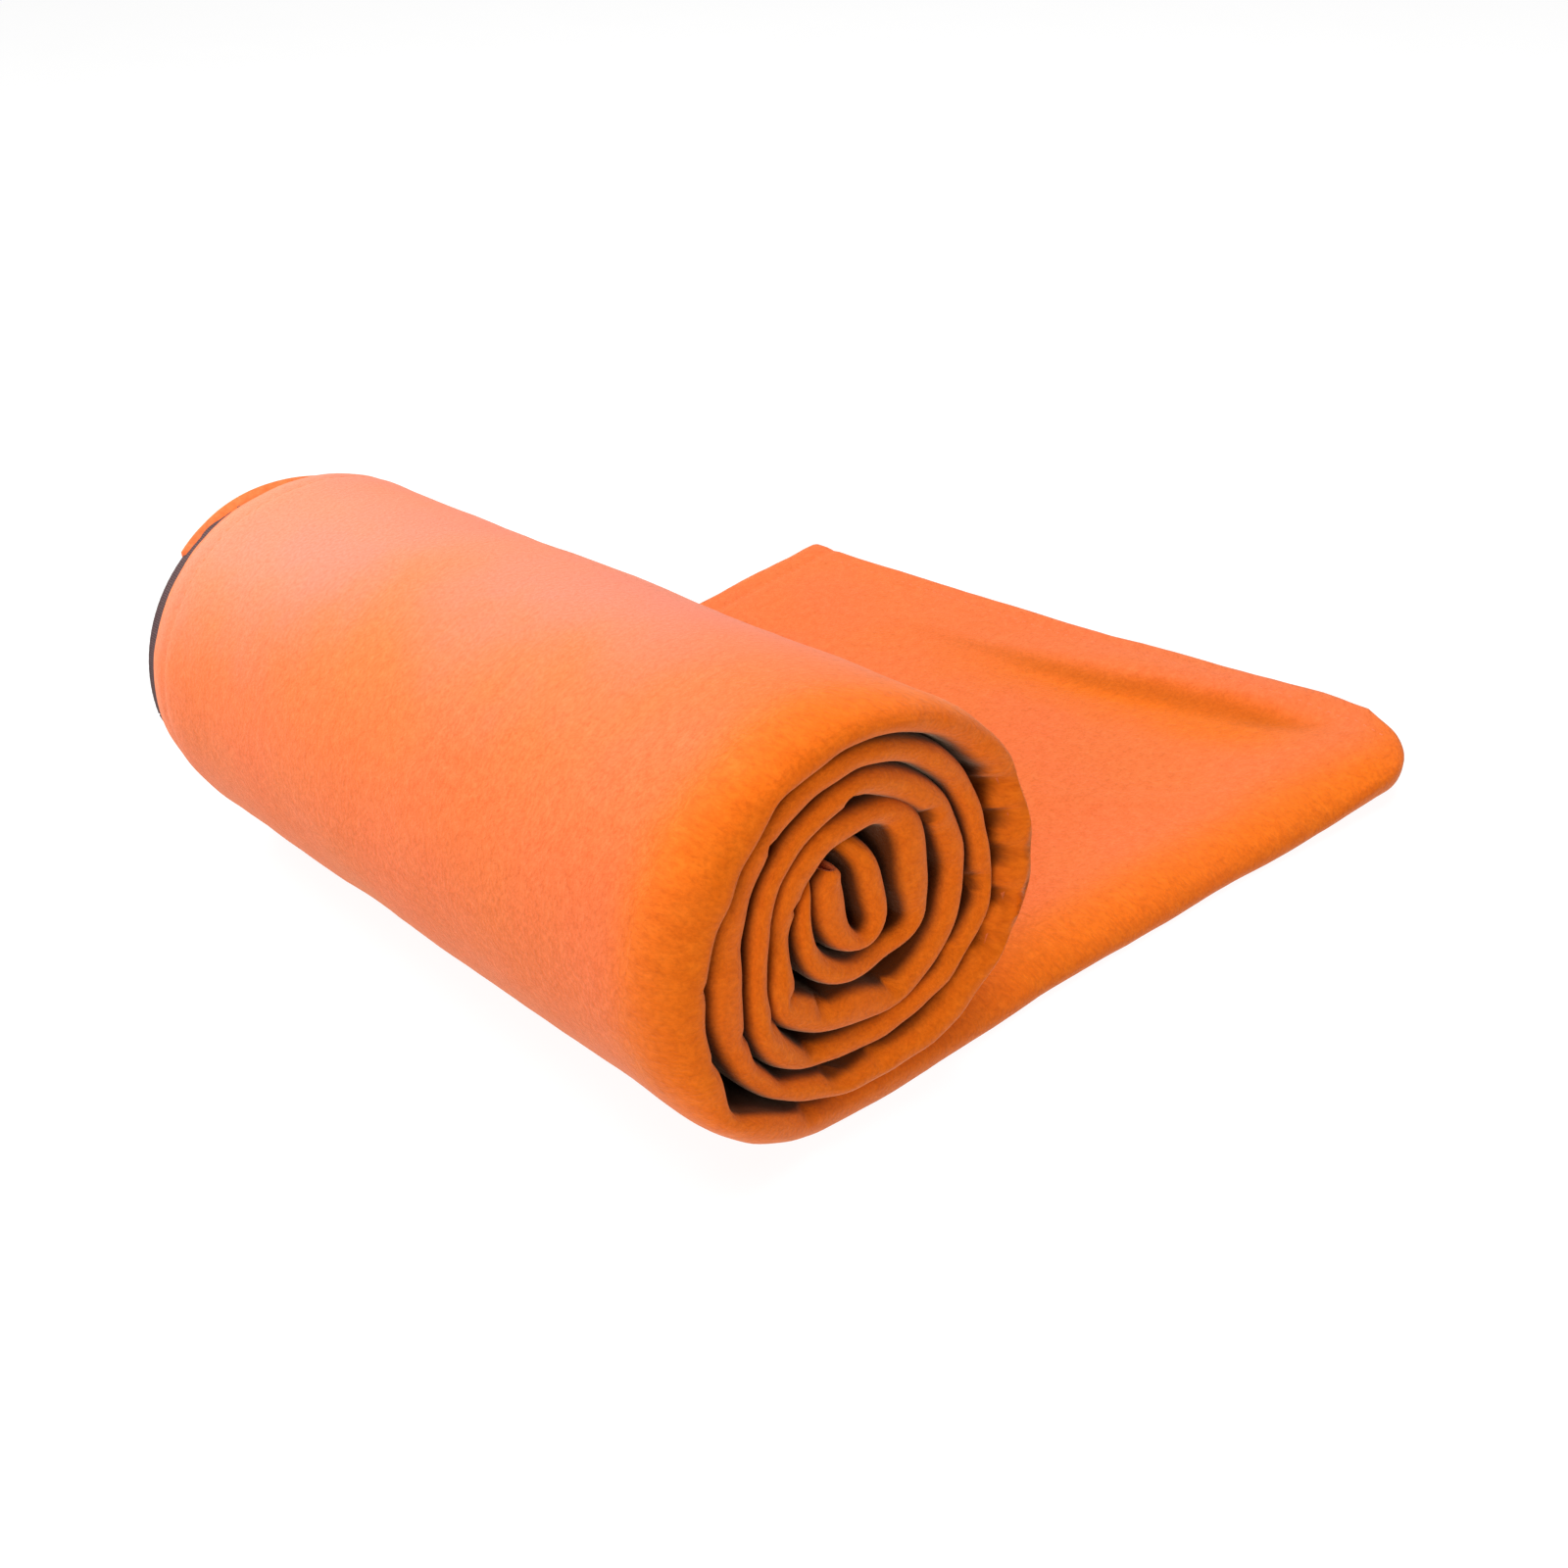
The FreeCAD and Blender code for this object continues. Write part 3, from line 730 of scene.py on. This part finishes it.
def cloth_piece(name, first, last):
    """A closed piece of the cloth, from one station to another."""
    points = rings[first:last + 1].reshape(-1, 3)
    faces, uvs = [], []
    for row in range(last - first):
        start = row * RING_COUNT
        u0, u1 = along[first + row], along[first + row + 1]
        for place in range(RING_COUNT):
            following = (place + 1) % RING_COUNT
            v0, v1 = ACROSS[place], ACROSS[place + 1]
            faces.append([start + place, start + RING_COUNT + place, start + RING_COUNT + following,
                          start + following])
            uvs += [(u0, v0), (u1, v0), (u1, v1), (u0, v1)]
    start_cap = cap_faces(0)
    end_cap = [face[::-1] for face in cap_faces((last - first) * RING_COUNT)]
    for face in start_cap + end_cap:
        faces.append(face)
        uvs += [(along[first] + FLEECE / 2 * corner, ACROSS[vertex % RING_COUNT])
                for corner, vertex in enumerate(face)]

    def at_cap(ends):
        """Which edges, given by the numbers of their two points, are on the two closing faces."""
        return (ends < RING_COUNT).all(axis=1) | (ends >= len(points) - RING_COUNT).all(axis=1)

    return new_piece(name, points, faces, uvs, FLEECE_LOOK, at_cap)


def finish_piece(piece, replaced, body, bends_to=None):
    """Hides the CAD nodes a piece replaces and puts the piece on its body; a piece at a hinge of the flap
    only has its transform baked.
    """
    if replaced:
        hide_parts(*replaced)
    if bends_to is None:
        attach(piece, body)
        return piece
    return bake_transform(piece)


def flap_bodies():
    """For each flap piece: its number, the body before its hinge, and the body after it."""
    bodies = ["roll", "flap_1", "flap_2", "flap_3", "flap_4"]
    return [(number, bodies[number - 1], bodies[number]) for number in (1, 2, 3, 4)]


def station_at(x):
    """The flap station at x."""
    return int(np.argmin(np.abs(line_x[on_flap] - x)))


stops = [station_at(x) for x in SEAMS] + [0]
towel_roll = cloth_piece("towel_roll", stops[0], len(along) - 1)
finish_piece(towel_roll, ["rolled_cloth"], "roll")
for number, before, after in flap_bodies():
    first, last = stops[number], stops[number - 1]
    piece = cloth_piece(f"towel_flap_{number}", first, last)
    finish_piece(piece, [f"flap_panel_{number}"], before, after)


# --- Stitches ---------------------------------------------------------------------------------------------

STITCH_PITCH, STITCH_LENGTH, THREAD_RADIUS = 2.9, 2.3, 0.32
STITCH_SIDES, STITCH_RINGS = 7, (0.0, 0.1, 0.3, 0.7, 0.9, 1.0)
STITCH_ARCH, STITCH_SUNK = 0.32, 0.48    # how high a stitch arches, and how deep its ends are in the cloth


def stitches(name, line, lift):
    """A row of stitches along a line of points; lift is the way out of the cloth at each of them."""
    gaps = np.linalg.norm(np.diff(line, axis=0), axis=1)
    places = np.concatenate([[0], np.cumsum(gaps)])
    points, faces, uvs = [], [], []
    for number in range(int((places[-1] - STITCH_LENGTH) // STITCH_PITCH)):
        at = number * STITCH_PITCH + STITCH_LENGTH * np.array(STITCH_RINGS)
        middle = np.stack([np.interp(at, places, column) for column in line.T], axis=1)
        up = np.array([np.interp(at[2], places, column) for column in lift.T])
        up /= np.linalg.norm(up)
        side = np.cross(middle[-1] - middle[0], up)
        side /= np.linalg.norm(side)
        more_faces, more_uvs = tube_faces(len(points), STITCH_SIDES, at, 0.3)
        faces += more_faces
        uvs += more_uvs
        for share, centre in zip(STITCH_RINGS, middle):
            arch = math.sin(math.pi * share)
            radius = THREAD_RADIUS * (0.35 + 0.65 * min(1.0, 4 * min(share, 1 - share)))
            for corner in range(STITCH_SIDES):
                turn = 2 * math.pi * corner / STITCH_SIDES
                around = side * math.cos(turn) + up * math.sin(turn)
                points.append(centre + up * (STITCH_ARCH * arch - STITCH_SUNK) + radius * around)
    return new_piece(name, points, faces, uvs, THREAD_LOOK)


round_roll = np.flatnonzero((angle > 20) & (angle < 330))
lift = np.stack([outward[:, 0], 0 * angle, outward[:, 1]], axis=1)
finish_piece(stitches("roll_hem_stitches", outer_loop[round_roll, STITCH_COLUMN], lift[round_roll]),
             ["roll_hem_thread"], "roll")
for number, before, after in flap_bodies():
    span = np.arange(max(stops[number] + 1, station_at(FLAP_END - HEM_WIDTH)), stops[number - 1])
    line = outer_loop[span, -1 - STITCH_COLUMN]
    finish_piece(stitches(f"flap_hem_stitches_{number}", line, -lift[span]),
                 [f"flap_hem_thread_{number}"], before, after)
end_line = outer_loop[station_at(FLAP_END - HEM_WIDTH), LOOP_COUNT // 2 + FOLD_STEPS:-STITCH_COLUMN]
finish_piece(stitches("end_hem_stitches", end_line, np.tile((0, 0, 1.0), (len(end_line), 1))),
             ["end_hem_thread"], "flap_3", "flap_4")


# --- The hanging loop -------------------------------------------------------------------------------------

LOOP_FROM, LOOP_TO = 108.0, 190.0        # degrees from +X towards +Z round the hemmed end
SEWN_RADIUS, MIDDLE_RADIUS = 39.0, 39.5
SEWN_Y, MIDDLE_Y = 91.3, 91.6            # of the tape's middle line
TAIL_ANGLE, TAIL_Y = 14.0, 85.0
LOOP_CLEARANCE = 0.01    # the share of the loop that is left free at each end
TAPE_WIDTH, TAPE_THICKNESS = 4.0, 1.2
HEM_END_CENTRE_Z = 47.0 * HEM_END_SCALE - 1.0


def at_hem_end(degrees, radius, y):
    """A point round the roll's hemmed end, at an angle from +X towards +Z."""
    turn = math.radians(degrees)
    return np.array((radius * math.cos(turn), y, HEM_END_CENTRE_Z + radius * math.sin(turn)))


def loop_point(share):
    """A point on the loop's middle line, from its upper sewn end (0) to its lower one (1)."""
    arch = math.sin(math.pi * share)
    radius = SEWN_RADIUS + (MIDDLE_RADIUS - SEWN_RADIUS) * arch
    return at_hem_end(LOOP_FROM + (LOOP_TO - LOOP_FROM) * share, radius, SEWN_Y + (MIDDLE_Y - SEWN_Y) * arch)


def tail_point(degrees, towards, share):
    """A point on a sewn end, which slants down into the gap between the plies."""
    y = SEWN_Y + (TAIL_Y - SEWN_Y) * share
    return at_hem_end(degrees + towards * TAIL_ANGLE * share, SEWN_RADIUS, y)


def away_from_axis(point):
    """The direction out from the roll's axis at a point round its hemmed end."""
    out = point - at_hem_end(0, 0, point[1])
    return out / np.linalg.norm(out)


def tape(path):
    """Points, faces and uvs of a tape along a path: its width is along Y, and its selvedges are thicker."""
    profile = []
    for side in (1, -1):
        for share in np.linspace(-0.42, 0.42, 9) * side:
            selvedge = 0.16 * bell(abs(share) - 0.4, 0.06)
            profile.append((share * TAPE_WIDTH, side * (TAPE_THICKNESS / 2 - 0.12 + selvedge)))
        profile.append((side * TAPE_WIDTH * 0.49, side * TAPE_THICKNESS * 0.25))
        profile.append((side * TAPE_WIDTH * 0.49, -side * TAPE_THICKNESS * 0.25))
    along_path = np.concatenate([[0], np.cumsum(np.linalg.norm(np.diff(path, axis=0), axis=1))])
    points = []
    for point, place in zip(path, along_path):
        out = away_from_axis(point)
        rib = 0.03 * math.sin(2 * math.pi * place / 0.9)
        points += [point + np.array((0, 1, 0)) * width + out * height * (1 + rib)
                   for width, height in profile]
    return points, *tube_faces(0, len(profile), along_path, 0.55)


def joined(*parts):
    """Several (points, faces, uvs) as one."""
    points, faces, uvs = [], [], []
    for more_points, more_faces, more_uvs in parts:
        faces += [[corner + len(points) for corner in face] for face in more_faces]
        points += more_points
        uvs += more_uvs
    return points, faces, uvs


LOOP_STEPS, TAIL_STEPS = 90, 24
free = 1 - 2 * LOOP_CLEARANCE
loop_path = [loop_point(LOOP_CLEARANCE + free * step / LOOP_STEPS) for step in range(LOOP_STEPS + 1)]
hanging_tape = new_piece("hanging_tape", *tape(loop_path), TAPE_LOOK)
finish_piece(hanging_tape, ["hanging_loop"], "loop")
tails = [tape([tail_point(degrees, towards, step / TAIL_STEPS) for step in range(TAIL_STEPS + 1)])
         for degrees, towards in ((LOOP_FROM, -1), (LOOP_TO, 1))]
sewn_ends = new_piece("sewn_tape_ends", *joined(*tails), TAPE_LOOK)
finish_piece(sewn_ends, ["loop_sewn_ends"], "roll")


# --- The bar tacks and the care label ---------------------------------------------------------------------

TACK_Y, TACK_THREADS, TACK_PITCH = 86.5, 7, 0.55
TACK_REACH = 1.1          # degrees each side of its middle
TACK_THREAD_RADIUS = 0.24


def thread_tube(path, radius):
    """A short thread along a path round the hemmed end."""
    points = []
    sides = 6
    for point in path:
        out = away_from_axis(point)
        for corner in range(sides):
            turn = 2 * math.pi * corner / sides
            points.append(point + radius * (out * math.sin(turn) + np.array((0, 1, 0)) * math.cos(turn)))
    return points, *tube_faces(0, sides, [0.4 * number for number in range(len(path))], 0.2)


def tack(degrees):
    """A dense bar of stitches over a sewn end."""
    parts = []
    for number in range(TACK_THREADS):
        y = TACK_Y + (number - TACK_THREADS // 2) * TACK_PITCH
        path = []
        for swing in np.linspace(-TACK_REACH, TACK_REACH, 7):
            radius = SEWN_RADIUS + 0.62 + 0.12 * math.cos(swing * 2)
            path.append(at_hem_end(degrees + swing, radius, y + 0.05 * swing))
        parts.append(thread_tube(path, TACK_THREAD_RADIUS))
    return joined(*parts)


tacks = joined(*[tack(degrees) for degrees in (LOOP_FROM - 0.8 * TAIL_ANGLE, LOOP_TO + 0.8 * TAIL_ANGLE)])
finish_piece(new_piece("bar_tack_threads", *tacks, TACK_LOOK), ["loop_bar_tacks"], "roll")


def care_label():
    """A blank satin label, held between the plies; its free part sags and curls a little."""
    low, high = (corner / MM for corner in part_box("care_label"))
    steps = 20
    thickness = 0.3
    held, free = 10.0, 14.0       # how much of it is between the plies, and how much is out
    wide, long = 1.3, 1.2         # each of its squares
    points, faces, uvs = [], [], []
    for face, height in ((0, thickness), (1, 0.0)):
        for row in range(steps + 1):
            for place in range(steps + 1):
                x = low.x + (high.x - low.x) * place / steps
                y = low.y + (high.y - low.y) * row / steps
                free_part = max(0.0, y - low.y - held) / free
                sag = -1.6 * free_part**1.5 + 1.1 * free_part**2 * math.sin(math.pi * place / steps) ** 2
                points.append((x, y, low.z + height + sag))
    count = (steps + 1) ** 2
    for row in range(steps):
        for place in range(steps):
            first = row * (steps + 1) + place
            square = [first, first + 1, first + steps + 2, first + steps + 1]
            corners = [(wide * place, long * row), (wide * place + wide, long * row),
                       (wide * place + wide, long * row + long), (wide * place, long * row + long)]
            faces += [square, [count + corner for corner in square[::-1]]]
            uvs += corners + corners[::-1]
    rim = list(range(steps + 1))
    rim += [row * (steps + 1) + steps for row in range(1, steps + 1)]
    rim += [steps * (steps + 1) + place for place in range(steps - 1, -1, -1)]
    rim += [row * (steps + 1) for row in range(steps - 1, 0, -1)]
    for number, corner in enumerate(rim):
        following = rim[(number + 1) % len(rim)]
        faces.append([following, corner, count + corner, count + following])
        uvs += [(number, 0), (number + 1, 0), (number + 1, 0.3), (number, 0.3)]
    label = new_piece("satin_label", points, faces, uvs, SATIN_LOOK)
    finish_piece(label, ["care_label"], "flap_3")
    return label


care_label()


# --- The floor, the lights and the camera -----------------------------------------------------------------

def studio_floor():
    """A big pale plane under the towel."""
    mesh = bpy.data.meshes.new("studio_floor")
    reach = 6.0
    mesh.from_pydata([(-reach, -reach, 0), (reach, -reach, 0), (reach, reach, 0), (-reach, reach, 0)], [],
                     [(0, 1, 2, 3)])
    mesh.materials.append(floor_material())
    floor = bpy.data.objects.new("studio_floor", mesh)
    bpy.context.scene.collection.objects.link(floor)
    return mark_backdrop(floor)


def softbox(name, place, size, watts, colour):
    """A square area light that looks at the towel."""
    light = bpy.data.lights.new(name, "AREA")
    light.shape, light.size, light.energy, light.color = "SQUARE", size, watts, colour
    lamp = bpy.data.objects.new(name, light)
    lamp.location = place
    lamp.rotation_euler = (Vector((0.05, 0, 0.03)) - Vector(place)).to_track_quat("-Z", "Y").to_euler()
    bpy.context.scene.collection.objects.link(lamp)


def studio_world(brightness):
    """Even white light from all round."""
    world = bpy.data.worlds.new("studio_world")
    world.use_nodes = True
    world.node_tree.nodes["Background"].inputs["Color"].default_value = (1, 1, 1, 1)
    world.node_tree.nodes["Background"].inputs["Strength"].default_value = brightness
    bpy.context.scene.world = world


def camera():
    """A camera above the folded end's left, looking along the roll and down on it."""
    yaw, pitch = math.radians(45.728), math.radians(-29.748)
    forward = Vector((math.cos(pitch) * math.cos(yaw), math.cos(pitch) * math.sin(yaw), math.sin(pitch)))
    right = forward.cross(Vector((0, 0, 1))).normalized()
    lens = bpy.data.cameras.new("camera")
    lens.lens, lens.sensor_width = 47.95, 36.0
    eye = bpy.data.objects.new("camera", lens)
    turned = Matrix((right, right.cross(forward), -forward)).transposed()
    eye.matrix_world = Matrix.Translation((-0.2365, -0.3194, 0.2634)) @ turned.to_4x4()
    bpy.context.scene.collection.objects.link(eye)
    bpy.context.scene.camera = eye


LIGHTS = (
    # name, place, size, watts, colour
    ("key_softbox", (-0.15, 0.40, 0.50), 0.35, 5.5, (1.0, 0.98, 0.97)),
    ("top_softbox", (0.20, 0.0, 1.40), 1.0, 17.0, (1.0, 0.98, 0.97)),
    ("front_fill", (-1.30, -0.75, 0.60), 0.6, 17.0, (1.0, 0.98, 0.97)),
    ("side_fill", (1.00, -0.60, 0.60), 0.5, 3.5, (1.0, 0.98, 0.97)),
    ("low_fill", (-0.90, 0.80, 0.25), 0.5, 2.0, (1.0, 0.98, 0.97)),
)
studio_floor()
for light in LIGHTS:
    softbox(*light)
studio_world(0.15)
camera()
bpy.context.scene.view_settings.view_transform = "Standard"
